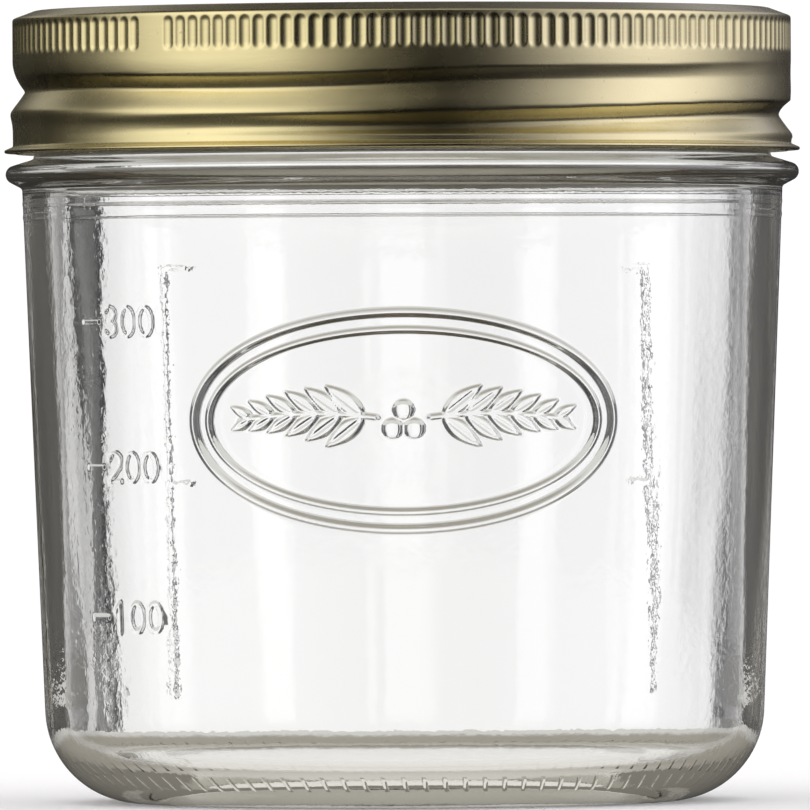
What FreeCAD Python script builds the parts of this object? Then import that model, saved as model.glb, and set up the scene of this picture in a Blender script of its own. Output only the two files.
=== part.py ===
"""Half-litre preserving jar, pressed in clear glass, closed by a two-piece metal lid.

The four pieces seat as they do on the real jar: the screw band's inturned flange presses a thin
lid disc down, and the ring of sealing compound under the disc's edge rests on the jar's rim.
Millimetres, +Z up. The origin is the centre of the base, on the surface that the jar stands on.
The front of the jar faces -Y. Angles round the axis are in degrees from the front, rising to +X.
"""
import FreeCAD
import Part
import math
import os

# ---- jar: the finish, which is the part that the lid grips, sets every other width ----
FINISH_R = 44.9
FINISH_WALL = 3.3        # from the finish to the mouth
RIM_ROUNDING = 1.2
NECK_STEP = 1.45         # from the finish out to the wall just under the transfer bead
BEAD_PROJECTION = 2.0    # from that wall to the crest of the bead
BEAD_HEIGHT = 3.6
BEAD_CREST = 1.5         # height between the corners of the bead, before they are rounded
BEAD_ROUNDING = 1.5
BEAD_GAP = 0.25          # air between the band's curl and the transfer bead

# ---- jar: body and base ----
JAR_HEIGHT = 95.0
TAPER = 2.5              # how much narrower the wall is where the heel begins
WALL = 2.7
BASE_THICKNESS = 4.0
HEEL_RADIUS = 11.5
INNER_HEEL_RADIUS = 6.6
PUSH_UP = 1.2            # height of the hollow under the base
PUSH_UP_SLOPE = 4.0      # width of the ramp from the bearing ring up to that hollow
PUSH_UP_ROUNDING = 3.0
BEARING_WIDTH = 2.4      # width of the flat ring that the jar stands on
BEARING_ROUNDING = 1.0
INNER_NECK_RISE = 2.0    # from the top of the bead up to where the mouth begins inside
INNER_NECK_ROUNDING = 4.0
BEAD_FILLET = 0.5

# ---- jar: the two upright moulded bars on the back, each with short level arms ----
BAR_ANGLE = 42.7         # either side of the middle of the back
BAR_WIDTH = 1.4
BAR_RELIEF = 0.5
BAR_FOOT_Z = 12.0
BAR_LENGTH = 53.7
ARM_LENGTH = 3.4
ARM_HEIGHT = 1.1
ARM_DROPS = (0.5, 27.2)  # from the top of the bar down to the middle of each arm

# ---- lid disc and sealing compound ----
SHEET = 0.3
SEAL_THICKNESS = 0.8
SEAL_WIDTH = 2.4
DISC_SEAT = 0.2          # flat of the disc outside the sealing compound
DISC_EDGE_WIDTH = 1.4    # width of the disc's sloping edge
DISC_EDGE_DROP = 0.75
GROOVE_DEPTH = 1.0
GROOVE_WIDTH = 1.6
GROOVE_SLOPE = 0.7
GROOVE_CLEARANCE = 1.0   # between the disc's groove and the mouth of the jar
PANEL_DROP = 0.25        # how far the panel lies under the disc's edge
BUTTON_R = 14.0
BUTTON_RISE = 0.25

# ---- screw band ----
BAND_WALL = 0.4
THREAD_CLEARANCE = 0.6   # between the finish and the bottom of the rolled thread
BAND_HEIGHT = 17.8
FLANGE_WIDTH = 6.6
SHOULDER_WIDTH = 2.6     # width of the sloping shoulder between the band's wall and its flange
SHOULDER_DROP = 0.8      # height of that slope
SHOULDER_RADIUS = 0.6
CURL_HEIGHT = 1.2
CURL_CREST = 0.3         # height between the corners of the curl, before they are rounded
CURL_ROUNDING = 0.3
CURL_PROJECTION = 1.05   # how far the rolled curl stands out from the band

# ---- knurling pressed into the band below its shoulder ----
KNURL_COUNT = 168
KNURL_DEPTH = 0.16
KNURL_WIDTH = 1.4
KNURL_HEIGHT = 4.0
KNURL_DROP = 1.1         # from the top of the band down to the top of the knurling
PLAIN_ANGLE = -39.3      # middle of the short plain stretch that the knurling leaves
PLAIN_KNURLS = 2         # how many knurls that stretch takes the place of

# ---- helical thread rolled into the band ----
THREAD_PITCH = 5.4
THREAD_DEPTH = 1.55
THREAD_START = -75.0     # angle at which the valley begins to sink in
THREAD_TURNS = 1.5
THREAD_RUN_IN = 110.0    # angle over which the valley reaches its full depth
THREAD_RUN_OUT = 150.0
THREAD_LIFT = 3.0        # from the lower edge of the band to the valley at the front
FLANK_ABOVE = 4.6        # long shallow flank above the bottom of the valley
STEEP_FLANK = 1.75       # short steep flank, up to the ridge that overhangs the valley
STEEP_SHARE = 0.6        # how much of the valley's depth the steep flank takes
FLANK_BELOW = 2.8
VALLEY_ROUNDING = 0.25
BULGE = 0.3              # how far the roll of metal under the valley stands out
BULGE_DROP = 2.6
BULGE_SPREAD = 1.2
EDGE_BLEND = 1.3         # height over which the thread dies away at either end of its zone
ANGLE_STEPS = 120
HEIGHT_STEPS = 44
SEAM_OVERLAP = 6         # how many steps the points of the thread run on past the seam

AXIS = FreeCAD.Vector(0, 0, 1)
CENTRE = FreeCAD.Vector(0, 0, 0)
DEGREES_TO_FRONT = -90.0
SAME_POINT = 1e-7
SEWING_GAP = 1e-3

# ---- radii that follow from the finish ----
MOUTH_R = FINISH_R - FINISH_WALL
NECK_R = FINISH_R + NECK_STEP
HEEL_TOP_R = NECK_R - TAPER
BEAD_R = NECK_R + BEAD_PROJECTION
BAND_R = FINISH_R + THREAD_CLEARANCE + THREAD_DEPTH + BAND_WALL
CURL_R = BAND_R + CURL_PROJECTION

# ---- heights that follow from the pieces stacked on the rim ----
DISC_UNDERSIDE = JAR_HEIGHT + SEAL_THICKNESS
FLANGE_UNDERSIDE = DISC_UNDERSIDE + SHEET
BAND_TOP = FLANGE_UNDERSIDE + BAND_WALL
BAND_FOOT = BAND_TOP - BAND_HEIGHT
BEAD_TOP = BAND_FOOT - BEAD_GAP
BEAD_FOOT = BEAD_TOP - BEAD_HEIGHT
KNURL_TOP = BAND_TOP - KNURL_DROP
THREAD_TOP = KNURL_TOP - KNURL_HEIGHT - BAND_WALL
THREAD_FOOT = BAND_FOOT + CURL_HEIGHT + BAND_WALL


def at(radius, z):
    """A point of a profile, drawn in the XZ plane."""
    return FreeCAD.Vector(radius, 0, z)


def rounded_outline(corners, closed=True):
    """A wire through (radius, z, rounding) corners, each rounded by an arc tangent to both sides.

    Two arcs that would meet on a side share it in proportion to what each of them asks for.
    """
    count = len(corners)
    points = [at(radius, z) for radius, z, _ in corners]
    sides = [points[(i + 1) % count] - points[i] for i in range(count)]
    asked = []
    half_angles = []
    for i, (_, _, rounding) in enumerate(corners):
        is_end = not closed and i in (0, count - 1)
        half_angles.append((sides[i - 1] * -1).getAngle(sides[i]) / 2)
        asked.append(0 if is_end else rounding / math.tan(half_angles[i]))
    stations = []
    edges = []
    for i in range(count):
        if asked[i] == 0:
            stations.append((points[i], points[i]))
            continue
        behind = sides[i - 1].Length * asked[i] / (asked[i] + asked[i - 1])
        before = sides[i].Length * asked[i] / (asked[i] + asked[(i + 1) % count])
        reach = min(asked[i], behind, before)
        radius = reach * math.tan(half_angles[i])
        back = (sides[i - 1] * -1).normalize()
        ahead = (sides[i] * 1).normalize()
        inward = (back + ahead).normalize()
        middle = points[i] + inward * (radius / math.sin(half_angles[i]) - radius)
        stations.append((points[i] + back * reach, points[i] + ahead * reach))
        edges.append(Part.Arc(stations[-1][0], middle, stations[-1][1]).toShape())
    for i in range(count if closed else count - 1):
        start = stations[i][1]
        end = stations[(i + 1) % count][0]
        if start.distanceToPoint(end) > SAME_POINT:
            edges.append(Part.LineSegment(start, end).toShape())
    return Part.Wire(Part.sortEdges(edges)[0])


def turned(corners):
    """The solid that a closed profile sweeps in one turn round the axis."""
    return Part.Face(rounded_outline(corners)).revolve(CENTRE, AXIS, 360)


def turned_skin(corners):
    """The open skin that a profile sweeps in one turn."""
    return rounded_outline(corners, closed=False).revolve(CENTRE, AXIS, 360)


def wall_radius(z):
    """Outside radius of the jar's straight, slightly tapered wall at height z."""
    share = (z - HEEL_RADIUS) / (BEAD_FOOT - HEEL_RADIUS)
    return HEEL_TOP_R + (NECK_R - HEEL_TOP_R) * share


def upright_bar(angle, toward_middle):
    """One moulded bar on the back of the jar with its level arms, sunk into the wall."""
    def strip(foot, height, first_angle, width_angle):
        z_levels = (foot, foot + height)
        skin = [(wall_radius(z) + BAR_RELIEF, z, BAR_RELIEF) for z in z_levels]
        root = [(wall_radius(z) - WALL / 2, z, 0) for z in reversed(z_levels)]
        face = Part.Face(rounded_outline(skin + root))
        face.rotate(CENTRE, AXIS, DEGREES_TO_FRONT + first_angle)
        return face.revolve(CENTRE, AXIS, width_angle)

    bar_span = math.degrees(BAR_WIDTH / wall_radius(BAR_FOOT_Z))
    arm_span = math.degrees(ARM_LENGTH / wall_radius(BAR_FOOT_Z)) + bar_span
    bar = strip(BAR_FOOT_Z, BAR_LENGTH, angle - bar_span / 2, bar_span)
    arm_start = angle - bar_span / 2 if toward_middle > 0 else angle + bar_span / 2 - arm_span
    arms = []
    for drop in ARM_DROPS:
        foot = BAR_FOOT_Z + BAR_LENGTH - drop - ARM_HEIGHT / 2
        arms.append(strip(foot - ARM_HEIGHT / 2, ARM_HEIGHT, arm_start, arm_span))
    return bar.multiFuse(arms)


def jar():
    """The glass: base with its push-up and bearing ring, heel, tapered wall, bead and finish."""
    bearing_outer = wall_radius(0) - HEEL_RADIUS
    bearing_inner = bearing_outer - BEARING_WIDTH
    bead_middle = (BEAD_FOOT + BEAD_TOP) / 2
    glass = turned([
        (0, PUSH_UP, 0),
        (bearing_inner - PUSH_UP_SLOPE, PUSH_UP, PUSH_UP_ROUNDING),
        (bearing_inner, 0, BEARING_ROUNDING),
        (wall_radius(0), 0, HEEL_RADIUS),
        (NECK_R, BEAD_FOOT, BEAD_FILLET),
        (BEAD_R, bead_middle - BEAD_CREST / 2, BEAD_ROUNDING),
        (BEAD_R, bead_middle + BEAD_CREST / 2, BEAD_ROUNDING),
        (FINISH_R, BEAD_TOP, BEAD_FILLET),
        (FINISH_R, JAR_HEIGHT, RIM_ROUNDING),
        (MOUTH_R, JAR_HEIGHT, RIM_ROUNDING),
        (MOUTH_R, BEAD_TOP + INNER_NECK_RISE, INNER_NECK_ROUNDING),
        (NECK_R - WALL, BEAD_FOOT, INNER_NECK_ROUNDING),
        (wall_radius(BASE_THICKNESS) - WALL, BASE_THICKNESS, INNER_HEEL_RADIUS),
        (0, BASE_THICKNESS, 0),
    ])
    bars = [upright_bar(180 + side * BAR_ANGLE, -side) for side in (-1, 1)]
    return glass.multiFuse(bars).removeSplitter().Solids[0]


def seal():
    """The ring of sealing compound, on the flat of the jar's rim."""
    middle = (MOUTH_R + FINISH_R) / 2
    inner = middle - SEAL_WIDTH / 2
    outer = middle + SEAL_WIDTH / 2
    edge = SEAL_THICKNESS / 4
    return turned([
        (inner, JAR_HEIGHT, edge),
        (outer, JAR_HEIGHT, edge),
        (outer, DISC_UNDERSIDE, 0),
        (inner, DISC_UNDERSIDE, 0),
    ])


def disc():
    """The pressed lid disc: sloping edge, sealing flat, groove inside the mouth, panel, button."""
    flat_r = (MOUTH_R + FINISH_R + SEAL_WIDTH) / 2 + DISC_SEAT
    edge_r = flat_r + DISC_EDGE_WIDTH
    groove_r = MOUTH_R - GROOVE_CLEARANCE
    levels = [
        (edge_r, -DISC_EDGE_DROP),
        (flat_r, 0),
        (groove_r, 0),
        (groove_r - GROOVE_SLOPE, -GROOVE_DEPTH),
        (groove_r - GROOVE_SLOPE - GROOVE_WIDTH, -GROOVE_DEPTH),
        (groove_r - 2 * GROOVE_SLOPE - GROOVE_WIDTH, -PANEL_DROP),
        (BUTTON_R + GROOVE_SLOPE, -PANEL_DROP),
        (BUTTON_R, BUTTON_RISE - PANEL_DROP),
        (0, BUTTON_RISE - PANEL_DROP),
    ]
    top = [(radius, FLANGE_UNDERSIDE + level, SHEET * 1.5) for radius, level in levels]
    top[0] = (*top[0][:2], 0)
    top[-1] = (*top[-1][:2], 0)
    under = [(radius, z - SHEET, rounding) for radius, z, rounding in reversed(top[2:])]
    slope = math.atan(DISC_EDGE_DROP / DISC_EDGE_WIDTH)
    under += [
        (flat_r - SHEET * math.tan(slope / 2), DISC_UNDERSIDE, SHEET),
        (edge_r - SHEET * math.sin(slope), top[0][1] - SHEET * math.cos(slope), 0),
    ]
    return turned(top + under)


def eased(share):
    """A share from 0 to 1 that leaves 0 and reaches 1 smoothly."""
    share = min(max(share, 0.0), 1.0)
    return share * share * (3 - 2 * share)


def thread_relief(angle, z):
    """How far the rolled thread moves the band's wall outward, which is inward in the valley."""
    end = THREAD_START + 360 * THREAD_TURNS
    relief = 0.0
    for turn in range(math.ceil(THREAD_TURNS) + 1):
        along = angle + 360 * turn
        strength = eased((along - THREAD_START) / THREAD_RUN_IN) * eased((end - along) / THREAD_RUN_OUT)
        above = z - (BAND_FOOT + THREAD_LIFT + THREAD_PITCH * along / 360)
        rounded = math.hypot(above, VALLEY_ROUNDING) - VALLEY_ROUNDING
        if above > 0:
            steep = max(1 - (rounded / STEEP_FLANK) ** 2, 0)
            shallow = max(1 - rounded / FLANK_ABOVE, 0) ** 2
            valley = STEEP_SHARE * steep + (1 - STEEP_SHARE) * shallow
        else:
            valley = max(1 - rounded / FLANK_BELOW, 0)
        roll = math.exp(-((above + BULGE_DROP) / BULGE_SPREAD) ** 2)
        relief += strength * (BULGE * roll - THREAD_DEPTH * valley)
    return relief * eased((THREAD_TOP - z) / EDGE_BLEND) * eased((z - THREAD_FOOT) / EDGE_BLEND)


def thread_skin(radius):
    """The threaded stretch of one side of the sheet, through points that follow the helix.

    The points run on past the seam at both ends, so that the sheet closes there without a crease.
    """
    rows = []
    for i in range(-SEAM_OVERLAP, ANGLE_STEPS + SEAM_OVERLAP + 1):
        turn_angle = 360 * (i % ANGLE_STEPS) / ANGLE_STEPS
        angle = (turn_angle - DEGREES_TO_FRONT - THREAD_START) % 360 + THREAD_START
        direction = math.radians(turn_angle)
        row = []
        for j in range(HEIGHT_STEPS + 1):
            z = THREAD_FOOT + (THREAD_TOP - THREAD_FOOT) * j / HEIGHT_STEPS
            r = radius + thread_relief(angle, z)
            row.append(FreeCAD.Vector(r * math.cos(direction), r * math.sin(direction), z))
        rows.append(row)
    surface = Part.BSplineSurface()
    surface.interpolate(rows)
    row_knots = surface.getUKnots()
    low, high = surface.bounds()[2:]
    surface.segment(row_knots[SEAM_OVERLAP], row_knots[-1 - SEAM_OVERLAP], low, high)
    return surface.toShape()


def knurl_dies():
    """The round-ended dies that press the knurls, spaced evenly but for the plain stretch."""
    die_r = (KNURL_WIDTH ** 2 / 4 + KNURL_DEPTH ** 2) / (2 * KNURL_DEPTH)
    foot = KNURL_TOP - KNURL_HEIGHT
    die = turned([(0, foot, 0), (die_r, foot, die_r), (die_r, KNURL_TOP, die_r), (0, KNURL_TOP, 0)])
    die.translate(at(BAND_R + die_r - KNURL_DEPTH, 0))
    spacing = 360 / KNURL_COUNT
    first = DEGREES_TO_FRONT + PLAIN_ANGLE + spacing * (PLAIN_KNURLS + 1) / 2
    dies = []
    for i in range(KNURL_COUNT - PLAIN_KNURLS):
        copy = die.copy()
        copy.rotate(CENTRE, AXIS, first + spacing * i)
        dies.append(copy)
    return dies


def band():
    """The screw band: flange, shoulder, knurling, rolled thread, and a curl at its lower edge."""
    inner_r = BAND_R - BAND_WALL
    flange_bore = BAND_R - FLANGE_WIDTH
    slope = SHOULDER_DROP / SHOULDER_WIDTH
    sheet_drop = BAND_WALL * math.hypot(1, slope)
    shoulder_z = BAND_TOP - SHOULDER_DROP
    inner_flat_r = BAND_R - (SHOULDER_DROP + sheet_drop - BAND_WALL) / slope
    upper = turned_skin([
        (inner_r, THREAD_TOP, 0),
        (inner_r, shoulder_z + slope * BAND_WALL - sheet_drop, SHOULDER_RADIUS - BAND_WALL),
        (inner_flat_r, FLANGE_UNDERSIDE, SHOULDER_RADIUS),
        (flange_bore, FLANGE_UNDERSIDE, BAND_WALL / 3),
        (flange_bore, BAND_TOP, BAND_WALL / 3),
        (BAND_R - SHOULDER_WIDTH, BAND_TOP, SHOULDER_RADIUS + BAND_WALL),
        (BAND_R, shoulder_z, SHOULDER_RADIUS),
        (BAND_R, THREAD_TOP, 0),
    ])
    lower = turned_skin([
        (BAND_R, THREAD_FOOT, 0),
        (BAND_R, BAND_FOOT + CURL_HEIGHT, BAND_WALL / 2),
        (CURL_R, BAND_FOOT + (CURL_HEIGHT + CURL_CREST) / 2, CURL_ROUNDING),
        (CURL_R, BAND_FOOT + (CURL_HEIGHT - CURL_CREST) / 2, CURL_ROUNDING),
        (inner_r, BAND_FOOT, BAND_WALL / 2),
        (inner_r, THREAD_FOOT, 0),
    ])
    faces = upper.Faces + lower.Faces + thread_skin(BAND_R).Faces + thread_skin(inner_r).Faces
    skin = Part.makeCompound(faces)
    skin.sewShape(SEWING_GAP)
    sheet = Part.Solid(skin.Shells[0])
    if sheet.Volume < 0:
        sheet.reverse()
    return sheet.cut(knurl_dies()).Solids[0]


os.makedirs("parts", exist_ok=True)
for name, make in {"jar": jar, "seal": seal, "disc": disc, "band": band}.items():
    piece = make()
    piece.exportStep(f"parts/{name}.step")
    print(name, "valid" if piece.isValid() else "NOT VALID", f"{piece.Volume / 1000:.3f} cm3")
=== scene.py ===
import math

import bpy
import numpy as np
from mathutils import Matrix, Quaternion, Vector


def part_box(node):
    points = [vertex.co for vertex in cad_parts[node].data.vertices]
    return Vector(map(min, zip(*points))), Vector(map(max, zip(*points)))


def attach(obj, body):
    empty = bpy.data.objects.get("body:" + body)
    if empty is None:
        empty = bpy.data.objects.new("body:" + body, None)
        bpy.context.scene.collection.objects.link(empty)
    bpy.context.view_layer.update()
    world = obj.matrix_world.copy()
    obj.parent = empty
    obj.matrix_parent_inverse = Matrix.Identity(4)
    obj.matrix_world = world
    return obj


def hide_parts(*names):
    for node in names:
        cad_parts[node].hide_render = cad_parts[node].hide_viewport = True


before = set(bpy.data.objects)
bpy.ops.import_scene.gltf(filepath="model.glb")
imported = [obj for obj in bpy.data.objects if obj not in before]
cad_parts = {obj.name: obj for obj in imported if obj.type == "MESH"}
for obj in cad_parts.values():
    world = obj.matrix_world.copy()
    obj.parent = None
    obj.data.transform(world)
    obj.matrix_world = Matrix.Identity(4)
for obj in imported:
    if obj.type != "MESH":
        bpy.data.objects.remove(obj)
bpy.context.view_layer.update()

# ---- The jar -----------------------------------------------------------------------------------
# Soda-lime glass, pressed in one piece. The mould gives the outside its bead, thread, bearing
# ring, leaf medallion and the two upright bars on the back; the plunger that forms the inside
# leaves it slightly uneven, which is what makes the wavy streaks near the edges.

# Sizes are worked out in millimetres, and Blender's are in metres.
MM = 0.001
PER_METRE = 1000.0
_, jar_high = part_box("jar")
jar_height = jar_high.z / MM
bead_radius = jar_high.x / MM
bead_proud = 2.0
bead_height = 3.6
finish_height = 16.55
finish_inset = 1.45
finish_wall = 3.3
taper = 2.5
neck_radius = bead_radius - bead_proud
finish_radius = neck_radius - finish_inset
mouth_radius = finish_radius - finish_wall
heel_top_radius = neck_radius - taper
bead_top = jar_height - finish_height
bead_foot = bead_top - bead_height
wall = 2.7
base_thickness = 4.0
heel_rounding = 11.5
inner_heel_rounding = 6.6
push_up = 1.2


def wall_radius(height):
    """Outside radius of the tapered wall."""
    share = (height - heel_rounding) / (bead_foot - heel_rounding)
    return heel_top_radius + (neck_radius - heel_top_radius) * share


def eased(share):
    """A share held between 0 and 1 that starts and ends gently."""
    share = np.clip(share, 0.0, 1.0)
    return share * share * (3 - 2 * share)


def profile(corners, closed=False):
    """Radius, height and wanted row spacing along (radius, height, rounding, spacing) corners."""
    arc_step = 3.0
    arc_spacing = 0.12
    count = len(corners)
    places = [np.array(corner[:2], float) for corner in corners]
    sides = [places[(i + 1) % count] - places[i] for i in range(count)]
    lengths = [float(np.hypot(*side)) for side in sides]
    asked = []
    halves = []
    for i, (_, _, rounding, _) in enumerate(corners):
        is_end = not closed and i in (0, count - 1)
        turn = float(-sides[i - 1] @ sides[i]) / (lengths[i - 1] * lengths[i])
        halves.append(math.acos(min(max(turn, -1.0), 1.0)) / 2)
        asked.append(0.0 if is_end else rounding / math.tan(halves[i]))
    points = []
    for i, (_, _, _, spacing) in enumerate(corners):
        if asked[i] == 0:
            points.append((*places[i], spacing))
            continue
        behind = lengths[i - 1] * asked[i] / (asked[i] + asked[i - 1])
        before = lengths[i] * asked[i] / (asked[i] + asked[(i + 1) % count])
        reach = min(asked[i], behind, before)
        radius = reach * math.tan(halves[i])
        back = -sides[i - 1] / lengths[i - 1]
        ahead = sides[i] / lengths[i]
        bisector = (back + ahead) / np.hypot(*(back + ahead))
        centre = places[i] + bisector * radius / math.sin(halves[i])
        spoke = places[i] + back * reach - centre
        swing = math.pi - 2 * halves[i]
        way = math.copysign(1, spoke[0] * ahead[1] - spoke[1] * ahead[0])
        for step in np.linspace(0, swing, max(3, math.ceil(math.degrees(swing) / arc_step))):
            c, s = math.cos(step), math.sin(step) * way
            arm = (spoke[0] * c - spoke[1] * s, spoke[0] * s + spoke[1] * c)
            own_spacing = arc_spacing * radius + arc_spacing
            points.append((*(centre + arm), min(spacing, corners[i - 1][3], own_spacing)))
        points[-1] = (*points[-1][:2], spacing)
    if closed:
        points.append(points[0])
    return np.array(points)


def nowhere(angle, along, radius, height):
    """No cell is a fine one."""
    return False


def unmoved(angle, along, radius, height):
    """The surface stays on its profile."""
    return np.zeros_like(angle)


def turned_piece(name, path, columns, fine=nowhere, split=(1, 1), shift=unmoved, closed=False):
    """A closed mesh turned from a profile, with cells split more finely where fine says.

    shift moves the surface out along its normal, in millimetres. Both are given the angle in
    degrees from the front, rising to +X, the distance along the profile, the radius and the height.
    """
    row_split, column_split = split
    finest = 0.1
    pace = [path[0]]
    for one, other in zip(path[:-1], path[1:]):
        pieces = max(1, math.ceil(np.hypot(*(other - one)[:2]) / finest))
        pace += [one + (other - one) * k / pieces for k in range(1, pieces + 1)]
    pace = np.array(pace)
    gaps = np.hypot(np.diff(pace[:, 0]), np.diff(pace[:, 1]))
    along = np.concatenate([[0], np.cumsum(gaps)])
    rows_so_far = np.concatenate([[0], np.cumsum(gaps / (pace[1:, 2] + pace[:-1, 2]) * 2)])
    rows = math.ceil(rows_so_far[-1])
    stations = np.interp(np.linspace(0, rows_so_far[-1], rows + 1), rows_so_far, along)
    last = rows * row_split
    around = columns * column_split
    row_middle = np.interp(np.arange(rows) + 0.5, np.arange(rows + 1), stations)
    column_middle = (np.arange(columns) + 0.5) * 360 / columns - 180
    radius_middle = np.interp(row_middle, along, pace[:, 0])
    height_middle = np.interp(row_middle, along, pace[:, 1])
    is_fine = np.broadcast_to(
        fine(column_middle[None, :], row_middle[:, None], radius_middle[:, None], height_middle[:, None]),
        (rows, columns))
    numbers = {}

    def vertex(row, column):
        if closed:
            row %= last
        elif row in (0, last):
            column = 0
        return numbers.setdefault((row, column % around), len(numbers))

    faces = []
    for i in range(rows):
        for j in range(columns):
            a, b = i * row_split, j * column_split
            if is_fine[i, j]:
                for da in range(row_split):
                    for db in range(column_split):
                        faces.append((vertex(a + da, b + db), vertex(a + da, b + db + 1),
                                      vertex(a + da + 1, b + db + 1), vertex(a + da + 1, b + db)))
                continue
            below = 1 if is_fine[i - 1, j] else column_split
            above = 1 if is_fine[(i + 1) % rows, j] else column_split
            left = 1 if is_fine[i, j - 1] else row_split
            right = 1 if is_fine[i, (j + 1) % columns] else row_split
            ring = [vertex(a, b + k) for k in range(0, column_split, below)]
            ring += [vertex(a + k, b + column_split) for k in range(0, row_split, right)]
            ring += [vertex(a + row_split, b + column_split - k) for k in range(0, column_split, above)]
            ring += [vertex(a + row_split - k, b) for k in range(0, row_split, left)]
            faces.append(tuple(dict.fromkeys(ring)))
    keys = np.array(list(numbers), float)
    place = np.interp(keys[:, 0] / row_split, np.arange(rows + 1), stations)
    angle = keys[:, 1] / around * 360 - 180
    nudge = 0.05
    radius = np.interp(place, along, pace[:, 0])
    height = np.interp(place, along, pace[:, 1])
    run = np.interp(place + nudge, along, pace[:, 0]) - np.interp(place - nudge, along, pace[:, 0])
    rise = np.interp(place + nudge, along, pace[:, 1]) - np.interp(place - nudge, along, pace[:, 1])
    length = np.hypot(run, rise)
    out = shift(angle, place, radius, height)
    radius = radius + out * rise / length
    height = height - out * run / length
    if not closed:
        radius[(keys[:, 0] == 0) | (keys[:, 0] == last)] = 0
    turn = np.radians(angle)
    points = np.stack([radius * np.sin(turn), -radius * np.cos(turn), height], axis=1) * MM
    mesh = bpy.data.meshes.new(name)
    mesh.from_pydata(points.tolist(), [], faces)
    mesh.shade_smooth()
    piece = bpy.data.objects.new(name, mesh)
    bpy.context.scene.collection.objects.link(piece)
    return piece


class Wire:
    """A node's output socket, on which ordinary arithmetic adds Math nodes to its tree."""

    def __init__(self, socket):
        self.socket = socket

    @staticmethod
    def node(tree, kind, settings, sockets):
        """Adds one node: first its settings, then the value or wire of each of its sockets."""
        made = tree.nodes.new(kind)
        for key, value in settings.items():
            setattr(made, key, value)
        for key, value in sockets.items():
            if isinstance(value, Wire):
                tree.links.new(value.socket, made.inputs[key])
            else:
                made.inputs[key].default_value = value
        return made

    @staticmethod
    def of(tree, kind, settings, sockets, output=0):
        """The wire from one output of a new node."""
        return Wire(Wire.node(tree, kind, settings, sockets).outputs[output])

    def follow(self, kind, settings, sockets, output=0):
        """The wire from one output of a new node in this wire's own tree."""
        return Wire.of(self.socket.id_data, kind, settings, sockets, output)

    def calculate(self, operation, *values):
        """One Math node on these values and wires."""
        return self.follow("ShaderNodeMath", {"operation": operation}, dict(enumerate(values)))

    def maths(self, operation, *others):
        """One Math node on this wire and these others."""
        return self.calculate(operation, self, *others)

    def share(self, low=0.0, high=1.0, kind="SMOOTHSTEP"):
        """How far this wire has come from low to high, from 0 to 1."""
        return self.follow("ShaderNodeMapRange", {"interpolation_type": kind},
                           {"Value": self, "From Min": low, "From Max": high})

    def between(self, one, other):
        """The colour that lies this share of the way from one colour to the other."""
        return self.follow("ShaderNodeMix", {"data_type": "RGBA"}, {0: self, 6: one, 7: other}, 2)

    def ramp(self, *stops):
        """A grey ramp over this wire, through (position, brightness) stops."""
        made = Wire.node(self.socket.id_data, "ShaderNodeValToRGB", {}, {"Fac": self})
        elements = made.color_ramp.elements
        while len(elements) < len(stops):
            elements.new(0.5)
        for element, (position, brightness) in zip(elements, stops):
            element.position = position
            element.color = (brightness, brightness, brightness, 1)
        return Wire(made.outputs[0])

    def noise(self, scale, detail=2.0):
        """Noise over this vector."""
        return self.follow("ShaderNodeTexNoise", {}, {"Vector": self, "Scale": scale, "Detail": detail})

    def stretched(self, factors):
        """This vector with each axis multiplied by its factor."""
        return self.follow("ShaderNodeVectorMath", {"operation": "MULTIPLY"}, {0: self, 1: factors})

    def axes(self):
        """The x, y and z of this vector."""
        parts = Wire.node(self.socket.id_data, "ShaderNodeSeparateXYZ", {}, {0: self})
        return tuple(Wire(socket) for socket in parts.outputs)

    def __add__(self, other):
        return self.calculate("ADD", self, other)

    def __radd__(self, other):
        return self.calculate("ADD", other, self)

    def __sub__(self, other):
        return self.calculate("SUBTRACT", self, other)

    def __rsub__(self, other):
        return self.calculate("SUBTRACT", other, self)

    def __mul__(self, other):
        return self.calculate("MULTIPLY", self, other)

    def __rmul__(self, other):
        return self.calculate("MULTIPLY", other, self)

    def __truediv__(self, other):
        return self.calculate("DIVIDE", self, other)

    def __rtruediv__(self, other):
        return self.calculate("DIVIDE", other, self)

    def __pow__(self, other):
        return self.calculate("POWER", self, other)

    def __lt__(self, other):
        return self.calculate("LESS_THAN", self, other)

    def __gt__(self, other):
        return self.calculate("GREATER_THAN", self, other)


def new_material(name):
    """A material, its emptied node tree, and the output node."""
    material = bpy.data.materials.new(name)
    material.use_nodes = True
    material.node_tree.nodes.clear()
    output = Wire.node(material.node_tree, "ShaderNodeOutputMaterial", {}, {})
    return material, material.node_tree, output


# The medallion and the bars, in millimetres and degrees.
medallion_height = 46.5
medallion_half = (26.5, 13.0)
medallion_relief = 0.42
border_gap = 2.1
border_half_widths = (0.75, 0.6)
inner_border_share = 0.9
bar_angles = {-1: (43.7, 42.2), 1: (48.0, 43.6)}
bar_widths = {-1: 1.6, 1: 1.2}
bar_foot = 12.0
bar_top = bar_foot + 53.7
bar_relief = 0.11
arm_length = 3.4
arm_height = 1.1
arm_drops = (0.5, 27.2)
edge_rounding = 0.42

# The bars' ragged edges: depth, degrees of wave for each millimetre up, and the waves' own sizes.
ragged_depth = 0.12
ragged_turn = 40.0
ragged_seed = 5
ragged_waves = ((3, 16), 2.5, 14)

# Two fine lines under the bead, where the mould's parts meet, as (height, how proud).
mould_lines = ((bead_foot - 1.9, 0.05), (bead_foot - 3.5, 0.07))
mould_line_half_width = 0.45

# The glass's unevenness: depth, then the seed, the waves round the jar, climb and count.
outside_waves = (0.008, 3, (7, 40), 0.12, 24)
inside_waves = ((0.017, 11, (10, 40), 0.11, 30), (0.003, 12, (24, 46), 0.5, 30))


def ridge(distance, half_width):
    """A rounded ridge or pad edge: 1 on its middle line, 0 at half_width from it."""
    return eased(1 - np.abs(distance) / half_width)


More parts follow.
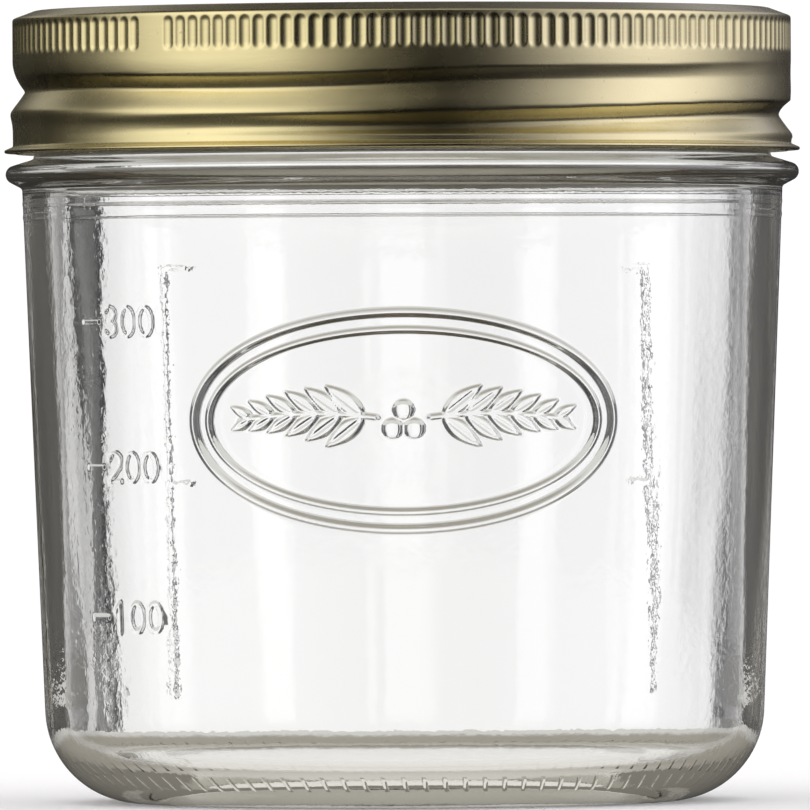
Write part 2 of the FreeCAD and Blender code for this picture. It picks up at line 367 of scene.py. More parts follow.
def unevenness(angle, height, seed, rounds, climb, count):
    """Seeded smooth waves over the wall, about -1 to 1, with `rounds` waves round the jar."""
    random = np.random.default_rng(seed)
    total = np.zeros_like(angle)
    weight = 0.0
    for _ in range(count):
        across = random.integers(*rounds)
        up = random.uniform(-climb, climb)
        size = rounds[0] / across
        total += size * np.cos(np.radians(angle) * across + height * up + random.uniform(0, 2 * np.pi))
        weight += size ** 2
    return total / math.sqrt(weight)


twig_length = 21.0
twig_bend = 0.9
twig_gap = 2.6
stem_half_width = 0.5
stem_share = 0.75
leaf_pairs = 6
leaf_start = 4.6
leaf_step = 2.75
leaf_size, leaf_shrinks = 6.4, 0.55
leaf_lean, leaf_straightens = 38, 2.5
leaf_slimness = 0.19
vein_share = 0.45
vein_half_width = 0.35
berry_radius = 1.25
berries = ((0.0, 1.35), (-1.3, -0.9), (1.3, -0.9))


def sprig(across, up):
    """Two leafy twigs lying end to end with three berries where they meet."""
    relief = np.zeros_like(across)
    reach = np.abs(across)
    stem_line = twig_bend * np.sin(reach / twig_length * math.pi)
    stem = ridge(up - stem_line, stem_half_width)
    stem = stem * eased((reach - twig_gap) / 0.8) * eased((twig_length - reach) / 1.5)
    relief = np.maximum(relief, stem * stem_share)
    for k in range(leaf_pairs):
        root = leaf_start + leaf_step * k
        size = leaf_size - leaf_shrinks * k
        for side in (-1, 1):
            lean = math.radians(leaf_lean - leaf_straightens * k) * side
            x0 = reach - root
            y0 = up - twig_bend * math.sin(root / twig_length * math.pi)
            u = (x0 * math.cos(lean) + y0 * math.sin(lean)) / size
            v = -x0 * math.sin(lean) + y0 * math.cos(lean)
            half = leaf_slimness * size * np.sin(np.clip(u, 0, 1) ** 0.8 * math.pi)
            leaf = eased((half - np.abs(v)) / edge_rounding) * (u > 0) * (u < 1)
            vein = vein_share * ridge(v, vein_half_width)
            vein = vein * eased((u - 0.05) / 0.1) * eased((0.85 - u) / 0.1)
            relief = np.maximum(relief, leaf - vein * leaf)
    for berry_across, berry_up in berries:
        distance = np.hypot(across - berry_across, up - berry_up)
        relief = np.maximum(relief, np.sqrt(np.clip(1 - (distance / berry_radius) ** 2, 0, 1)))
    return relief


def medallion(angle, height):
    """The oval on the front: two raised lines round a sprig."""
    across = np.radians(angle) * wall_radius(medallion_height)
    up = height - medallion_height
    a, b = medallion_half
    f = np.hypot(across / a, up / b)
    steepness = np.hypot(across / a ** 2, up / b ** 2) / np.maximum(f, 1e-3)
    distance = (f - 1) / np.maximum(steepness, 1e-3)
    outer, inner = border_half_widths
    lines = np.maximum(ridge(distance, outer), inner_border_share * ridge(distance + border_gap, inner))
    return medallion_relief * np.maximum(lines, sprig(across, up))


def back_bars(angle, height):
    """The two upright bars, ragged at their edges, and their short arms."""
    relief = np.zeros_like(angle)
    for side in (-1, 1):
        middle = 180 - np.interp(height, (bar_foot, bar_top), bar_angles[side])
        across = np.radians((angle * side - middle + 180) % 360 - 180) * wall_radius(height)
        wave_turn = height * ragged_turn + 60 * side
        ragged = ragged_depth * unevenness(wave_turn, across, ragged_seed + side, *ragged_waves)
        half = bar_widths[side] / 2
        upright = np.minimum(half - np.abs(across), np.minimum(height - bar_foot, bar_top - height))
        shapes = [upright]
        for drop in arm_drops:
            level = np.minimum(arm_height / 2 - np.abs(height - bar_top + drop),
                               np.minimum(across + half, arm_length + half - across))
            shapes.append(level)
        edge = np.maximum.reduce(shapes)
        relief = np.maximum(relief, eased((edge + ragged * (edge > -0.3)) / edge_rounding))
    return bar_relief * relief


scale_angle = -50.0
scale_relief = 0.07
scale_hundreds = (1, 2, 3)
level_mark = (-5.6, -2.6)
figure_start = -1.4
figure_height = 3.4
figure_width = 2.2
figure_gap = 0.9
cubic_mm_per_ml = 1000


def bow(x, y, width, height, start, end):
    """Short straight strokes along part of an ellipse, from one angle to another in degrees."""
    turns = np.radians(np.linspace(start, end, 9))
    points = [(x + width * math.cos(t), y + height * math.sin(t)) for t in turns]
    return tuple((*one, *other) for one, other in zip(points, points[1:]))


strokes = {
    "0": bow(0.5, 0.5, 0.5, 0.5, 0, 180) + bow(0.5, 0.5, 0.5, 0.5, 180, 360),
    "1": ((0.5, 0, 0.5, 1), (0.5, 1, 0.15, 0.75)),
    "2": bow(0.5, 0.7, 0.5, 0.3, 160, -40) + ((0.9, 0.5, 0, 0), (0, 0, 1, 0)),
    "3": bow(0.45, 0.76, 0.45, 0.24, 150, -90) + bow(0.45, 0.26, 0.5, 0.26, 90, -150),
}


def fill_height(millilitres):
    """The height inside the jar that holds this much."""
    slices = 400
    heights = np.linspace(base_thickness, jar_height, slices)
    corner = np.clip(inner_heel_rounding - (heights - base_thickness), 0, None)
    hollow = np.sqrt(inner_heel_rounding ** 2 - corner ** 2)
    inner = wall_radius(heights) - wall - inner_heel_rounding + hollow
    held = np.cumsum(np.pi * inner ** 2) * (heights[1] - heights[0]) / cubic_mm_per_ml
    return float(np.interp(millilitres, held, heights))


def stroke(across, up, one, other):
    """A rounded raised line between two points."""
    run = np.subtract(other, one)
    share = np.clip(((across - one[0]) * run[0] + (up - one[1]) * run[1]) / float(run @ run), 0, 1)
    return ridge(np.hypot(across - one[0] - share * run[0], up - one[1] - share * run[1]), edge_rounding)


def measuring_scale(angle, height):
    """Plain moulded figures beside short level marks, one for each hundred millilitres."""
    across = np.radians(angle - scale_angle) * wall_radius(height)
    relief = np.zeros_like(angle)
    mark_start, mark_end = level_mark
    for hundred in scale_hundreds:
        level = fill_height(100 * hundred)
        relief = np.maximum(relief, stroke(across, height, (mark_start, level), (mark_end, level)))
        for place, figure in enumerate(f"{hundred}00"):
            left = figure_start + place * (figure_width + figure_gap)
            for x0, y0, x1, y1 in strokes[figure]:
                relief = np.maximum(relief, stroke(
                    across, height,
                    (left + x0 * figure_width, level + (y0 - 0.5) * figure_height),
                    (left + x1 * figure_width, level + (y1 - 0.5) * figure_height)))
    return scale_relief * relief


thread_pitch = 5.4
thread_turns = 1.6
thread_rise = 1.35
thread_half_width = 1.25
thread_lift = 5.9
thread_start = -60
thread_fade = 25


def glass_thread(angle, height):
    """The single raised thread on the finish, which the band's rolled thread runs under."""
    relief = np.zeros_like(angle)
    for turn in range(-1, 3):
        along = angle + 360 * turn
        middle = bead_top + thread_lift + thread_pitch * along / 360
        thread_end = thread_turns * 360 + thread_start
        strength = eased((along - thread_start) / thread_fade) * eased((thread_end - along) / thread_fade)
        relief = np.maximum(relief, strength * ridge(height - middle, thread_half_width))
    return thread_rise * relief


# How far round from the front the medallion and the scale reach, and where the bars begin.
medallion_turn = 60
scale_turn = 12
bars_from_turn = 90

# Between which heights the low relief and the unevenness fade in and out.
relief_foot, relief_fade_in = 8.0, 4
relief_top, relief_fade_out = bead_foot - 1.0, 3
inside_foot, inside_fade_in = 1.5, 8
inside_top, inside_fade_out = 4, 12


def jar_shift(angle, along, radius, height):
    """How far the glass stands out from its plain profile, outside and inside."""
    outside = along < rim_along
    turned = np.abs(angle)
    on_wall = eased((height - relief_foot) / relief_fade_in) * eased((relief_top - height) / relief_fade_out)
    relief = medallion(angle, height) * (turned < medallion_turn)
    relief = relief + back_bars(angle, height) * (turned > bars_from_turn)
    relief += measuring_scale(angle, height) * (np.abs(angle - scale_angle) < scale_turn)
    relief *= on_wall
    depth, *waves = outside_waves
    relief += depth * on_wall * unevenness(angle, height, *waves)
    relief += glass_thread(angle, height) * (height > bead_top + 1)
    for line, proud in mould_lines:
        relief += proud * ridge(height - line, mould_line_half_width)
    inside = sum(depth * unevenness(angle, height, *waves) for depth, *waves in inside_waves)
    inside *= (eased((height - base_thickness - inside_foot) / inside_fade_in)
               * eased((jar_height - inside_top - height) / inside_fade_out))
    return np.where(outside, relief, inside)


bearing_outer = wall_radius(0) - heel_rounding
bearing_inner = bearing_outer - 2.4

# Radius, height, rounding and row spacing, from the middle of the underside out and in again.
jar_corners = [
    (0, push_up, 0, 3.0),
    (bearing_inner - 4.0, push_up, 3.0, 0.7),
    (bearing_inner, 0, 1.0, 0.7),
    (wall_radius(0), 0, heel_rounding, 1.5),
    (neck_radius, bead_foot, 0.5, 0.4),
    (bead_radius, bead_foot + (bead_height - 1.5) / 2, 1.5, 0.4),
    (bead_radius, bead_foot + (bead_height + 1.5) / 2, 1.5, 0.4),
    (finish_radius, bead_top, 0.5, 0.55),
    (finish_radius, jar_height, 1.2, 0.6),
    (mouth_radius, jar_height, 1.2, 1.4),
    (mouth_radius, bead_top + 2.0, 4.0, 0.8),
    (neck_radius - wall, bead_foot, 4.0, 1.5),
    (wall_radius(base_thickness) - wall, base_thickness, inner_heel_rounding, 1.6),
    (0, base_thickness, 0, 3.0),
]
jar_path = profile(jar_corners)
rim_index = int(np.argmax(jar_path[:, 1]))
rim_along = float(np.hypot(*np.diff(jar_path[:rim_index + 1, :2], axis=0).T).sum()) + 1.0


# The patches of fine cells: how far round and up from the medallion's middle, between which
# turns the bars lie, how far round from the scale's middle, and the scale's foot and top.
front_turn, front_reach = 38, 15
back_from, back_to = 130, 144
figures_turn, figures_foot, figures_top = 9, 17, bead_foot - 4
wall_from_radius = 40


def jar_fine(angle, along, radius, height):
    """The outside of the wall has fine cells where the medallion, the bars and the scale are."""
    turned = np.abs(angle)
    on_front = (turned < front_turn) & (np.abs(height - medallion_height) < front_reach)
    on_back = (turned > back_from) & (turned < back_to) & (height > bar_foot - 1) & (height < bar_top + 1)
    on_scale = np.abs(angle - scale_angle - 1) < figures_turn
    on_scale = on_scale & (height > figures_foot) & (height < figures_top)
    return (along < rim_along) & (on_front | on_back | on_scale) & (radius > wall_from_radius)


jar = turned_piece("pressed_jar", jar_path, 240, jar_fine, (5, 5), jar_shift)

glass, tree, output = new_material("clear pressed glass")
place = Wire.of(tree, "ShaderNodeTexCoord", {}, {}, "Object")
flecks = place.noise(900.0)
cords = place.stretched((1.0, 1.0, 0.10)).noise(320.0, 3.0)
skin = Wire.of(tree, "ShaderNodeBump", {}, {
    "Strength": 0.05, "Distance": 0.0002, "Height": flecks * 0.7 + cords * 0.7})
x, y, z = (axis * PER_METRE for axis in place.axes())

# Crescent marks lean round the outer side of the bearing ring.
mark_count = 104
mark_height = 3.0
mark_half_height = 0.9
mark_half_width = 0.13
mark_lean = 0.14
marks_from_radius = 37.0
mark_turn = x.maths("ARCTAN2", y * -1.0) * (mark_count / (2 * math.pi)) + (z - mark_height) * mark_lean
mark_across = mark_turn - mark_turn.maths("ROUND")
mark_shape = (1.0 - (mark_across / mark_half_width) ** 2.0).maths("MAXIMUM", 0.0)
mark_reach = (1.0 - ((z - mark_height) / mark_half_height) ** 2.0).maths("MAXIMUM", 0.0)
outer_side = (x * x + y * y) ** 0.5 > marks_from_radius
skin = Wire.of(tree, "ShaderNodeBump", {}, {
    "Strength": 1.0, "Distance": 0.00012, "Height": mark_shape * mark_reach * outer_side, "Normal": skin})
body = Wire.of(tree, "ShaderNodeBsdfPrincipled", {}, {
    "Base Color": (0.985, 0.99, 0.985, 1), "Roughness": 0.0, "IOR": 1.52,
    "Transmission Weight": 1.0, "Normal": skin})

# Where a ray has turned more than most_turns times, the glass stops passing light on and glows with a
# painted tone instead: painted dark shade in the wall and a painted olive grey in the foot.
most_turns = 8.5
foot_fades = (16.0, 10.0)
turns = Wire.of(tree, "ShaderNodeLightPath", {}, {}, "Ray Depth")
painted_wall_shade = Wire.of(tree, "ShaderNodeEmission", {}, {"Color": (0.05, 0.047, 0.04, 1), "Strength": 1.0})
painted_foot_tone = Wire.of(tree, "ShaderNodeEmission", {}, {"Color": (0.22, 0.206, 0.175, 1), "Strength": 1.0})
painted_trapped_glow = Wire.of(tree, "ShaderNodeMixShader", {}, {
    0: z.share(*foot_fades, "LINEAR"), 1: painted_wall_shade, 2: painted_foot_tone})
surface = Wire.node(tree, "ShaderNodeMixShader", {}, {0: turns > most_turns, 1: body, 2: painted_trapped_glow})
tree.links.new(surface.outputs[0], output.inputs["Surface"])
glass.cycles.emission_sampling = "NONE"
jar.data.materials.append(glass)
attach(jar, "root")
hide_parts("jar")

# ---- The sealing compound ----------------------------------------------------------------------
# A ring of soft plastisol, flowed in under the edge of the lid disc and cured there. It is
# pressed flat between the disc and the rim of the jar.

plastisol, tree, output = new_material("sealing compound")
place = Wire.of(tree, "ShaderNodeTexCoord", {}, {}, "Object")
mottle = place.noise(700.0, 3.0)
colour = mottle.between((0.60, 0.35, 0.20, 1), (0.70, 0.43, 0.26, 1))
skin = Wire.of(tree, "ShaderNodeBump", {}, {"Strength": 0.3, "Distance": 0.0001, "Height": mottle})
body = Wire.node(tree, "ShaderNodeBsdfPrincipled", {}, {
    "Base Color": colour, "Roughness": 0.55 + mottle * 0.15, "Normal": skin})
tree.links.new(body.outputs[0], output.inputs["Surface"])
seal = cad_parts["seal"]
seal.data.materials.clear()
seal.data.materials.append(plastisol)

# ---- The lid disc ------------------------------------------------------------------------------
# Tinplate 0.3 mm thick, gold outside and buff enamel inside, blanked and pressed: a turned-down
# edge, a flat for the seal, a groove inside the mouth of the jar, a panel and a low button.

sheet = 0.3
_, disc_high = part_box("disc")
disc_top = disc_high.z / MM
disc_edge = disc_high.x / MM
groove_radius = mouth_radius - 1.0
button_radius = 14.0


def lacquer(name, tint, roughness, grain_stretch, bore):
    """Clear gold lacquer over bright tin with a fine rolling grain, and buff enamel on the inside.

    A surface is inside where it faces the jar's middle, or faces down and lies within the bore.
    """
    material, tree, output = new_material(name)
    place = Wire.of(tree, "ShaderNodeTexCoord", {}, {}, "Object")
    facing = Wire.of(tree, "ShaderNodeTexCoord", {}, {}, "Normal")
    px, py, _ = place.axes()
    nx, ny, nz = facing.axes()
    away_from_axis = (px * px + py * py) ** 0.5
    not_zero = 0.0001
    inward = (px * nx + py * ny) / (away_from_axis + not_zero) < -0.4
    underneath = (nz < -0.5) * (away_from_axis < bore * MM)
    inside = inward.maths("MAXIMUM", underneath)
    grain = place.stretched(grain_stretch).noise(2600.0)
    clouds = place.noise(160.0, 4.0)
    worn = (place.noise(1500.0, 1.0) > 0.76) * 0.5
    worn_tint = (0.50, 0.44, 0.24, 1)
    enamel = (0.84, 0.80, 0.68, 1)
    dark = tuple(c * 0.86 for c in tint) + (1,)
    light = tuple(min(1.0, c * 1.07) for c in tint) + (1,)
    colour = clouds.between(dark, light)
    colour = worn.between(colour, worn_tint)
    colour = inside.between(colour, enamel)
    skin = Wire.of(tree, "ShaderNodeBump", {}, {
        "Strength": 0.10, "Distance": 0.00006, "Height": grain + clouds * 0.5})
    body = Wire.node(tree, "ShaderNodeBsdfPrincipled", {}, {
        "Base Color": colour, "Metallic": 1.0 - inside, "Roughness": roughness + (clouds - 0.5) * 0.10,
        "Coat Weight": 0.25, "Coat Roughness": 0.25, "Normal": skin})
    tree.links.new(body.outputs[0], output.inputs["Surface"])
    return material


edge_width = 1.4
edge_drop = 0.75
edge_slope = math.atan(edge_drop / edge_width)
disc_flat = disc_edge - edge_width
groove_depth = 1.0
panel_depth = 0.25

# Radius, level under the top and row spacing of the upper face, from the edge to the middle.
disc_levels = [
    (disc_edge, -edge_drop, 0.2),
    (disc_flat, 0, 0.4),
    (groove_radius, 0, 0.25),
    (groove_radius - 0.7, -groove_depth, 0.25),
    (groove_radius - 2.3, -groove_depth, 0.25),
    (groove_radius - 3.0, -panel_depth, 2.5),
    (button_radius + 0.7, -panel_depth, 0.3),
    (button_radius, 0, 2.5),
    (0, 0, 3.0),
]
disc_bend = sheet * 1.5
disc_foot = disc_top - edge_drop - sheet * math.cos(edge_slope)
disc_corners = [(0, disc_top - sheet, 0, 3.0)]
disc_corners += [(r, disc_top + z - sheet, disc_bend, pace) for r, z, pace in reversed(disc_levels[2:-1])]
disc_corners += [(disc_flat - sheet * math.tan(edge_slope / 2), disc_top - sheet, sheet, 0.3),
                 (disc_edge - sheet * math.sin(edge_slope), disc_foot, 0, 0.2)]
disc_corners += [(r, disc_top + z, disc_bend if 0 < i < 8 else 0, pace)
                 for i, (r, z, pace) in enumerate(disc_levels)]
disc = turned_piece("pressed_disc", profile(disc_corners), 180)
disc_lacquer = lacquer("lacquered lid disc", (0.76, 0.66, 0.36), 0.30, (1.0, 0.05, 1.0), disc_edge)
disc.data.materials.append(disc_lacquer)
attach(disc, "root")
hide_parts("disc")

# ---- The screw band ----------------------------------------------------------------------------
# The same tinplate, drawn to a ring with an inturned flange and a rolled curl. Round-ended
# knurls are pressed in below the shoulder, and the helical thread is rolled in last.

band_low, band_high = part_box("band")
band_top = band_high.z / MM
band_foot = band_low.z / MM
curl_radius = band_high.x / MM
band_wall = 0.4
band_radius = curl_radius - 1.05
band_inner = band_radius - band_wall
curl_height = 1.2
curl_crest = 0.3
shoulder_width = 2.7
shoulder_drop = 1.0
flange_bore = band_radius - 6.6
knurl_top = band_top - 1.4
knurl_height = 4.1
slope = shoulder_drop / shoulder_width
sheet_drop = band_wall * math.hypot(1, slope)
band_corners = [
    (band_inner, band_foot, 0.2, 0.4),
    (curl_radius, band_foot + (curl_height - curl_crest) / 2, 0.3, 0.2),
    (curl_radius, band_foot + (curl_height + curl_crest) / 2, 0.3, 0.3),
    (band_radius, band_foot + curl_height, 0.2, 0.33),
    (band_radius, band_top - shoulder_drop, 0.4, 0.4),
    (band_radius - shoulder_width, band_top, 1.0, 0.9),
    (flange_bore, band_top, 0.13, 0.2),
    (flange_bore, band_top - band_wall, 0.13, 0.9),
    (band_radius - (shoulder_drop + sheet_drop - band_wall) / slope, band_top - band_wall, 0.6, 0.6),
    (band_inner, band_top - shoulder_drop + slope * band_wall - sheet_drop, 0.2, 0.5),
]


def band_fine(angle, along, radius, height):
    """The outside of the band has fine cells where the knurls are."""
    knurled = (height > knurl_top - knurl_height - 0.5) & (height < knurl_top + 0.6)
    return knurled & (radius > band_radius - 1.2) & (along < blank_outside)


blank_path = profile(band_corners, closed=True)
top_index = int(np.argmax(blank_path[:, 1]))
blank_outside = float(np.hypot(*np.diff(blank_path[:top_index + 1, :2], axis=0).T).sum()) + 0.4
blank = turned_piece("band_blank", blank_path, 336, band_fine, (1, 6), closed=True)

rolling = bpy.data.node_groups.new("press knurls and roll thread", "GeometryNodeTree")
rolling.interface.new_socket("Geometry", in_out="INPUT", socket_type="NodeSocketGeometry")
rolling.interface.new_socket("Geometry", in_out="OUTPUT", socket_type="NodeSocketGeometry")
band_sizes = {
    "Band radius": band_radius, "Band foot": band_foot, "Knurl count": 168.0, "Knurl depth": 0.21,
    "Knurl width": 1.5, "Knurl top": knurl_top, "Knurl height": knurl_height, "Plain angle": -39.3,
    "Thread pitch": thread_pitch, "Thread depth": 1.55, "Thread start": -75.0, "Thread turns": 1.5,
    "Run in": 125.0, "Run out": 150.0, "Thread lift": 3.0, "Bulge": 0.3,
}
for size_name, value in band_sizes.items():
    socket = rolling.interface.new_socket(size_name, in_out="INPUT", socket_type="NodeSocketFloat")
    socket.default_value = value
group_in = Wire.node(rolling, "NodeGroupInput", {}, {})
size = {size_name: Wire(group_in.outputs[size_name]) for size_name in band_sizes}

here = Wire.of(rolling, "GeometryNodeInputPosition", {}, {})
x, y, z = (axis * PER_METRE for axis in here.axes())
distance = (x * x + y * y) ** 0.5
turn_angle = x.maths("ARCTAN2", y * -1.0) * math.degrees(1)

knurl_step = 360.0 / size["Knurl count"]
from_plain = (turn_angle - size["Plain angle"]).maths("WRAP", 180.0, -180.0)
knurl_offset = (from_plain + knurl_step * 0.5).maths("WRAP", knurl_step * 0.5, knurl_step * -0.5)
knurl_across = knurl_offset * size["Band radius"] * math.radians(1)
knurl_middle = size["Knurl top"] - size["Knurl height"] * 0.5
straight = size["Knurl height"] * 0.5 - size["Knurl width"] * 0.5
knurl_up = ((z - knurl_middle).maths("ABSOLUTE") - straight).maths("MAXIMUM", 0.0)
from_knurl = (knurl_across * knurl_across + knurl_up * knurl_up) ** 0.5
dent = (1.0 - (from_knurl / (size["Knurl width"] * 0.5)) ** 2.0).maths("MAXIMUM", 0.0)
knurled = (from_plain.maths("ABSOLUTE") > knurl_step) * (distance > size["Band radius"] - 0.9)
knurled = knurled * (z > knurl_middle - size["Knurl height"])
knurl_shift = dent * knurled * size["Knurl depth"] * -1.0

# How the middle of the thread leaves an even climb, as (first degree, degrees, millimetres up),
# with one dip. The upper flank is steep but for one stretch, where it is long.
wander_start = 0.1
wander_steps = ((-30.0, 30.0, -0.35), (0.0, 70.0, 0.55), (150.0, 100.0, 0.6), (362.0, 45.0, -1.1))
dip_middle, dip_width, dip_depth = 347.0, 45.0, 1.65
long_middle, long_width = 262.0, 50.0
steep_flank, long_flank, lower_flank = 1.75, 3.8, 2.7
bulge_drop, bulge_width = 2.6, 1.2

thread_shift = 0.0
thread_end = size["Thread start"] + size["Thread turns"] * 360.0
first_angle = (turn_angle - size["Thread start"]).maths("WRAP", 360.0, 0.0) + size["Thread start"]
for turn in range(3):
    along = first_angle + 360.0 * turn
    run_in = ((along - size["Thread start"]) / size["Run in"]).share()
    run_out = ((thread_end - along) / size["Run out"]).share()
    wander = wander_start
    for begin, span, up in wander_steps:
        wander = ((along - begin) / span).share() * up + wander
    wander = wander - (((along - dip_middle) / dip_width) ** 2.0 * -1.0).maths("EXPONENT") * dip_depth
    above = z - (size["Band foot"] + size["Thread lift"] + size["Thread pitch"] * along / 360.0 + wander)
    long_share = (((along - long_middle) / long_width) ** 2.0 * -1.0).maths("EXPONENT")
    steep = (1.0 - (above / steep_flank).maths("MAXIMUM", 0.0) ** 2.0).maths("MAXIMUM", 0.0)
    gradual = (1.0 - (above / long_flank).maths("MAXIMUM", 0.0)).maths("MAXIMUM", 0.0) ** 2.0
    flank_above = steep * (1.0 - long_share) * 0.8 + gradual * (long_share * 0.8 + 0.2)
    flank_below = (1.0 + above / lower_flank).maths("MAXIMUM", 0.0) ** 1.15
    valley = (above > 0.0) * flank_above + (above < 0.0) * flank_below
    bulge = (((above + bulge_drop) / bulge_width) ** 2.0 * -1.0).maths("EXPONENT")
    thread_shift = thread_shift + run_in * run_out * (size["Bulge"] * bulge - size["Thread depth"] * valley)
under_knurls = ((knurl_top - knurl_height - 0.2 - z) / 1.2).share()
over_curl = ((z - band_foot - curl_height - 0.2) / 1.1).share()
zone = under_knurls * over_curl * (distance > size["Band radius"] - 2.0)
press = thread_shift * zone + knurl_shift
radial = Wire.of(rolling, "ShaderNodeCombineXYZ", {}, {
    0: x / distance * press * MM, 1: y / distance * press * MM})
pressed = Wire.of(rolling, "GeometryNodeSetPosition", {}, {
    "Geometry": Wire(group_in.outputs[0]), "Offset": radial})
realized = Wire.of(rolling, "GeometryNodeRealizeInstances", {}, {0: pressed})
band_bore = band_inner - 1.3
brass = lacquer("brass-lacquered tinplate", (0.80, 0.70, 0.37), 0.27, (0.12, 0.12, 1.0), band_bore)
finished = Wire.of(rolling, "GeometryNodeSetMaterial", {}, {"Geometry": realized, "Material": brass})
Wire.node(rolling, "NodeGroupOutput", {}, {0: finished})

modifier = blank.modifiers.new("rolling", "NODES")
modifier.node_group = rolling
for socket in rolling.interface.items_tree:
    if socket.in_out == "INPUT" and socket.name in band_sizes:
        modifier[socket.identifier] = band_sizes[socket.name]
rolled = bpy.data.meshes.new_from_object(blank.evaluated_get(bpy.context.evaluated_depsgraph_get()))
blank.modifiers.remove(modifier)
rolled.name = "screw_band"
band = bpy.data.objects.new("screw_band", rolled)
bpy.context.scene.collection.objects.link(band)
bpy.data.objects.remove(blank)
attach(band, "root")
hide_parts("band")

# ---- Table, light and camera -------------------------------------------------------------------
# A round pale board with soft white light from every side. Narrow bright panels stand behind the
# glass in turn with dark ones, which is how glassware is lit so that its edges show.

board_radius = 0.40
board_thickness = 0.01
rim_steps = 96
turn_steps = [2 * math.pi * k / rim_steps for k in range(rim_steps)]
rim = [(board_radius * math.cos(turn), board_radius * math.sin(turn)) for turn in turn_steps]
board_points = [(ex, ey, 0.0) for ex, ey in rim] + [(ex, ey, -board_thickness) for ex, ey in rim]
board_faces = [tuple(range(rim_steps)), tuple(reversed(range(rim_steps, 2 * rim_steps)))]
board_faces += [(k, k + rim_steps, after + rim_steps, after)
                for k, after in ((k, (k + 1) % rim_steps) for k in range(rim_steps))]
board_mesh = bpy.data.meshes.new("pale_board")
board_mesh.from_pydata(board_points, [], board_faces)
board = bpy.data.objects.new("pale_board", board_mesh)
bpy.context.scene.collection.objects.link(board)

# Seen through the glass the board is not lit but glows with painted shade and light: a painted buff shade
# near the jar, paler farther off, and painted pale light right under the jar.
painted_near_shade = (0.38, 0.355, 0.305, 1)
painted_far_tone = (0.72, 0.71, 0.68, 1)
painted_under_light = (0.85, 0.82, 0.76, 1)
paint, tree, output = new_material("pale board")
place = Wire.of(tree, "ShaderNodeTexCoord", {}, {}, "Object")
speckle = place.noise(60.0)
x, y, _ = place.axes()
from_middle = (x * x + y * y) ** 0.5
rays = Wire.node(tree, "ShaderNodeLightPath", {}, {})
far = from_middle.share(0.07, 0.35)
far_off = Wire(rays.outputs["Ray Length"]).share(0.04, 0.11)
under_jar = from_middle.share(0.040, 0.033, "LINEAR")
painted_see_through_tone = under_jar.between(far.maths("MAXIMUM", far_off).between(painted_near_shade, painted_far_tone), painted_under_light)
body = Wire.of(tree, "ShaderNodeBsdfPrincipled", {}, {
    "Base Color": (0.95, 0.95, 0.95, 1), "Roughness": 0.7 + speckle * 0.1, "Specular IOR Level": 0.1})
painted_see_through_glow = Wire.of(tree, "ShaderNodeEmission", {}, {"Color": painted_see_through_tone, "Strength": 1.0})
surface = Wire.node(tree, "ShaderNodeMixShader", {}, {
    0: Wire(rays.outputs["Is Transmission Ray"]), 1: body, 2: painted_see_through_glow})
tree.links.new(surface.outputs[0], output.inputs["Surface"])
paint.cycles.emission_sampling = "NONE"
board.data.materials.append(paint)
board.visible_glossy = False

world = bpy.data.worlds.new("studio")
bpy.context.scene.world = world
world.use_nodes = True
tree = world.node_tree
tree.nodes.clear()
wx, wy, wz = Wire.of(tree, "ShaderNodeTexCoord", {}, {}, "Generated").axes()
lift = wz.maths("ARCSINE") * math.degrees(1)

# Behind the glass: bright and dark upright panels, the same in each quarter turn. Well above and
# below them is the dimmer, warmer room.
away = wx.maths("ARCTAN2", wy) * math.degrees(1)
panel = (away + 45.0).maths("FLOORED_MODULO", 90.0) / 90.0
behind = panel.ramp(
    (0.0, 1.06), (0.061, 1.06), (0.072, 0.12), (0.13, 0.05), (0.344, 0.04), (0.356, 0.75), (0.378, 0.85),
    (0.390, 0.06), (0.419, 0.05), (0.427, 1.06), (0.575, 1.06), (0.595, 0.88), (0.610, 0.64), (0.624, 0.28),
    (0.638, 0.12), (0.667, 0.08), (0.694, 0.16), (0.711, 0.13), (0.728, 0.05), (0.87, 0.04), (0.928, 0.12),
    (0.939, 1.06), (1.0, 1.06))
beyond = lift.maths("ABSOLUTE").share(12.0, 22.0)

# In the lid: soft boxes to the left and right, brightest at mid height and drawn in towards the
# top, with a light overhead and a low one at the back.
toward = (wx.maths("ARCTAN2", wy * -1.0) / (2 * math.pi)) + 0.5
height = lift / 180.0 + 0.5
drawn_in = ((toward - 0.5) * (1.0 - lift.maths("MAXIMUM", 0.0) * 0.004)) + 0.5
boxes = drawn_in.ramp(
    (0.0, 0.03), (0.16, 0.04), (0.205, 0.12), (0.236, 0.32), (0.272, 0.95), (0.328, 1.30), (0.394, 1.15),
    (0.433, 0.55), (0.467, 0.17), (0.50, 0.035), (0.536, 0.0), (0.569, 0.04), (0.611, 0.34), (0.667, 0.95),
    (0.711, 1.25), (0.75, 1.1), (0.792, 0.70), (0.833, 0.36), (0.875, 0.16), (0.917, 0.04), (1.0, 0.03))
tall = height.ramp((0.0, 0.05), (0.25, 0.06), (0.36, 0.10), (0.43, 0.40), (0.48, 0.90), (0.556, 1.1),
                   (0.75, 1.08), (0.90, 0.3), (1.0, 0.15))
overhead = height.ramp((0.86, 0.0), (0.97, 0.5), (1.0, 0.7))
low_sky = height.ramp((0.575, 0.0), (0.61, 0.42), (0.645, 0.42), (0.67, 0.0))
to_back = (toward - 0.5).maths("ABSOLUTE").share(0.32, 0.39, "LINEAR")
mirrored = boxes * tall + overhead + low_sky * to_back

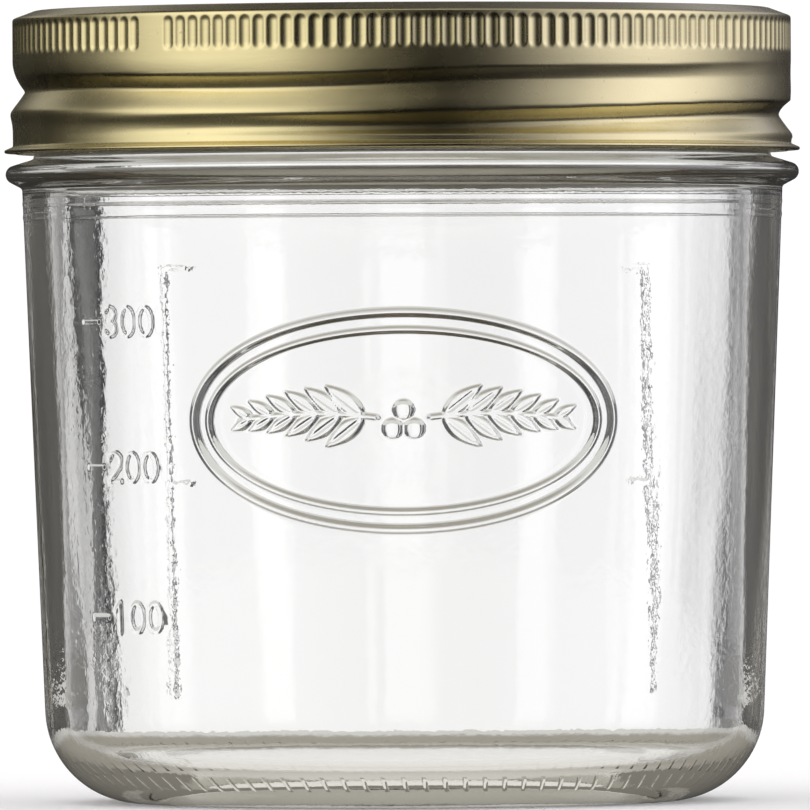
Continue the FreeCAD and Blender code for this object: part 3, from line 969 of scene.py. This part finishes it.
# Each kind of ray is lit by its own part of this.
white = 1.05
soft_light = 1.15
room_light = 0.42
rays = Wire.node(tree, "ShaderNodeLightPath", {}, {})
is_camera = Wire(rays.outputs["Is Camera Ray"])
is_through = Wire(rays.outputs["Is Transmission Ray"])
is_mirrored = Wire(rays.outputs["Is Glossy Ray"]) * (1.0 - is_through)
is_soft = Wire(rays.outputs["Diffuse Depth"]) > 0.5
is_deep = Wire(rays.outputs["Glossy Depth"]) > 1.5
seen = is_camera * white + is_through * behind + is_mirrored * mirrored
strength = is_soft * soft_light + (1.0 - is_soft) * seen
on_right = toward.share(0.5, 0.6, "LINEAR")
tint = (on_right * is_mirrored).between((1.0, 0.985, 0.992, 1), (1.0, 1.0, 1.22, 1))
panels = Wire.of(tree, "ShaderNodeBackground", {}, {"Color": tint, "Strength": strength})
room = Wire.of(tree, "ShaderNodeBackground", {}, {
    "Color": (1.0, 0.95, 0.82, 1), "Strength": room_light - beyond * (1.0 - is_deep) * 0.12})
is_room = (1.0 - is_soft) * is_through * beyond.maths("MAXIMUM", is_deep)
sky = Wire.of(tree, "ShaderNodeMixShader", {}, {0: is_room, 1: panels, 2: room})
Wire.node(tree, "ShaderNodeOutputWorld", {}, {"Surface": sky})

camera_distance = 2.0
camera_height = 0.0527
aim_height = 0.0483
camera_aside = 0.0002
camera_roll = -0.28
lens_data = bpy.data.cameras.new("studio_camera")
lens_data.sensor_width = 36.0
lens_data.lens = 729.0
lens_data.clip_end = 20.0
camera = bpy.data.objects.new("studio_camera", lens_data)
camera.location = (camera_aside, -camera_distance, camera_height)
aim = Vector((camera_aside, 0.0, aim_height)) - camera.location
camera.rotation_mode = "QUATERNION"
camera.rotation_quaternion = aim.to_track_quat("-Z", "Y") @ Quaternion((0, 0, 1), math.radians(camera_roll))
bpy.context.scene.collection.objects.link(camera)
bpy.context.scene.camera = camera
bpy.context.scene.view_settings.view_transform = "Standard"

# Light turns many times inside thick glass before it leaves.
most_bounces = 10
bpy.context.scene.cycles.max_bounces = most_bounces
bpy.context.scene.cycles.glossy_bounces = most_bounces
bpy.context.scene.cycles.transmission_bounces = most_bounces
